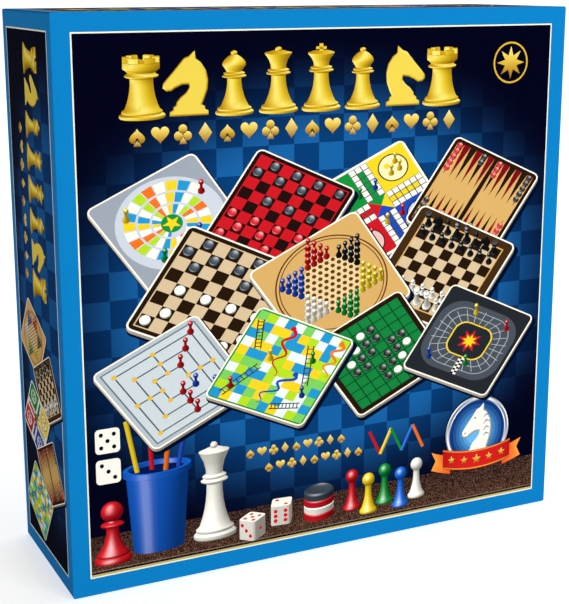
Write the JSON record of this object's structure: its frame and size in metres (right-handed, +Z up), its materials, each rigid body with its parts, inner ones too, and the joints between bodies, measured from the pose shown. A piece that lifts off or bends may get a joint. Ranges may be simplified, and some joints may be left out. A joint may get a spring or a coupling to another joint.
{
  "type": "games compendium box",
  "caption": "Square cardboard box with a full-depth lid, holding a rule booklet, game boards and a card partition with chess pieces, counters, pegs, sticks, dice and a cup.",
  "frame": {"origin": "middle of the footprint, on the surface that the box stands on", "axes": "+X to the right across the printed face, +Y from the printed face to the back, +Z up"},
  "size_m": [0.27, 0.083, 0.27],
  "materials": {
    "greyboard": "bare grey board",
    "printed_wrap": "printed paper with gloss varnish",
    "plain_wrap": "plain blue paper, satin",
    "stay_tape": "brown kraft paper tape",
    "booklet_paper": "uncoated paper",
    "staple_wire": "bright steel wire",
    "riser_card": "folded card",
    "partition_card": "card, grey inside",
    "board_card": "printed board, satin varnish",
    "chess_white": "moulded ivory plastic",
    "chess_black": "moulded black plastic",
    "dice_white": "white plastic with painted pips",
    "cup_blue": "moulded blue plastic",
    "counter_white": "moulded plastic",
    "counter_black": "moulded plastic",
    "counter_red": "moulded plastic",
    "peg_red": "moulded plastic",
    "peg_yellow": "moulded plastic",
    "peg_green": "moulded plastic",
    "peg_blue": "moulded plastic",
    "peg_white": "moulded plastic",
    "peg_black": "moulded plastic",
    "stick_red": "dyed wood",
    "stick_yellow": "dyed wood",
    "stick_green": "dyed wood",
    "stick_blue": "dyed wood",
    "stick_black": "dyed wood"
  },
  "bodies": {
    "base": {"base_board": "greyboard", "base_wrap": "plain_wrap", "base_corner_stays": "stay_tape"},
    "lid": {"lid_board": "greyboard", "lid_wrap": "printed_wrap", "lid_corner_stays": "stay_tape"},
    "booklet": {"booklet_cover": "booklet_paper", "booklet_pages": "booklet_paper", "booklet_staples": "staple_wire"},
    "board_1": {"game_board_1": "board_card"},
    "board_2": {"game_board_2": "board_card"},
    "board_3": {"game_board_3": "board_card"},
    "board_4": {"game_board_4": "board_card"},
    "board_5": {"game_board_5": "board_card"},
    "partition": {"level_strip_1": "partition_card", "level_strip_2": "partition_card", "level_strip_3": "partition_card", "level_strip_4": "partition_card", "level_strip_5": "partition_card", "dice_level_strip": "partition_card", "main_upright": "partition_card", "left_peg_upright": "partition_card", "right_peg_upright": "partition_card", "left_counter_upright": "partition_card", "right_counter_upright": "partition_card"},
    "riser": {"riser_tray": "riser_card"},
    "white_chess_set": {"white_king": "chess_white", "white_queen": "chess_white", "white_rooks": "chess_white", "white_bishops": "chess_white", "white_knights": "chess_white", "white_pawns": "chess_white"},
    "black_chess_set": {"black_king": "chess_black", "black_queen": "chess_black", "black_rooks": "chess_black", "black_bishops": "chess_black", "black_knights": "chess_black", "black_pawns": "chess_black"},
    "counter_set": {"white_counters": "counter_white", "black_counters": "counter_black", "red_counters": "counter_red"},
    "peg_set": {"red_pegs": "peg_red", "yellow_pegs": "peg_yellow", "green_pegs": "peg_green", "blue_pegs": "peg_blue", "white_pegs": "peg_white", "black_pegs": "peg_black"},
    "stick_set": {"red_sticks": "stick_red", "yellow_sticks": "stick_yellow", "green_sticks": "stick_green", "blue_sticks": "stick_blue", "black_sticks": "stick_black"},
    "dice_set": {"dice": "dice_white"},
    "cup": {"dice_cup": "cup_blue"}
  },
  "joints": [
    {"name": "lid_slide", "type": "slide", "parent": "base", "child": "lid", "axis": [0, -1, 0], "range_m": [0, 0.4]},
    {"name": "booklet_slide", "type": "slide", "parent": "base", "child": "booklet", "axis": [0, -1, 0], "range_m": [0, 0.276]},
    {"name": "board_1_slide", "type": "slide", "parent": "base", "child": "board_1", "axis": [0, -1, 0], "range_m": [0, 0.252]},
    {"name": "board_2_slide", "type": "slide", "parent": "base", "child": "board_2", "axis": [0, -1, 0], "range_m": [0, 0.228]},
    {"name": "board_3_slide", "type": "slide", "parent": "base", "child": "board_3", "axis": [0, -1, 0], "range_m": [0, 0.204]},
    {"name": "board_4_slide", "type": "slide", "parent": "base", "child": "board_4", "axis": [0, -1, 0], "range_m": [0, 0.18]},
    {"name": "board_5_slide", "type": "slide", "parent": "base", "child": "board_5", "axis": [0, -1, 0], "range_m": [0, 0.156]},
    {"name": "partition_slide", "type": "slide", "parent": "base", "child": "partition", "axis": [0, -1, 0], "range_m": [0, 0.088]},
    {"name": "riser_slide", "type": "slide", "parent": "base", "child": "riser", "axis": [0, -1, 0], "range_m": [0, 0.08]},
    {"name": "white_chess_set_slide", "type": "slide", "parent": "base", "child": "white_chess_set", "axis": [0, -1, 0], "range_m": [0, 0.136]},
    {"name": "black_chess_set_slide", "type": "slide", "parent": "base", "child": "black_chess_set", "axis": [0, -1, 0], "range_m": [0, 0.136]},
    {"name": "counter_set_slide", "type": "slide", "parent": "base", "child": "counter_set", "axis": [0, -1, 0], "range_m": [0, 0.136]},
    {"name": "peg_set_slide", "type": "slide", "parent": "base", "child": "peg_set", "axis": [0, -1, 0], "range_m": [0, 0.136]},
    {"name": "stick_set_slide", "type": "slide", "parent": "base", "child": "stick_set", "axis": [0, -1, 0], "range_m": [0, 0.14]},
    {"name": "dice_set_slide", "type": "slide", "parent": "base", "child": "dice_set", "axis": [0, -1, 0], "range_m": [0, 0.144]},
    {"name": "cup_slide", "type": "slide", "parent": "base", "child": "cup", "axis": [0, -1, 0], "range_m": [0, 0.144]}
  ],
  "couplings": [
    {"joint": "booklet_slide", "follows": "lid_slide", "ratio": 0.69},
    {"joint": "board_1_slide", "follows": "lid_slide", "ratio": 0.63},
    {"joint": "board_2_slide", "follows": "lid_slide", "ratio": 0.57},
    {"joint": "board_3_slide", "follows": "lid_slide", "ratio": 0.51},
    {"joint": "board_4_slide", "follows": "lid_slide", "ratio": 0.45},
    {"joint": "board_5_slide", "follows": "lid_slide", "ratio": 0.39},
    {"joint": "partition_slide", "follows": "lid_slide", "ratio": 0.22},
    {"joint": "riser_slide", "follows": "lid_slide", "ratio": 0.2},
    {"joint": "white_chess_set_slide", "follows": "lid_slide", "ratio": 0.34},
    {"joint": "black_chess_set_slide", "follows": "lid_slide", "ratio": 0.34},
    {"joint": "counter_set_slide", "follows": "lid_slide", "ratio": 0.34},
    {"joint": "peg_set_slide", "follows": "lid_slide", "ratio": 0.34},
    {"joint": "stick_set_slide", "follows": "lid_slide", "ratio": 0.35},
    {"joint": "dice_set_slide", "follows": "lid_slide", "ratio": 0.36},
    {"joint": "cup_slide", "follows": "lid_slide", "ratio": 0.36}
  ]
}
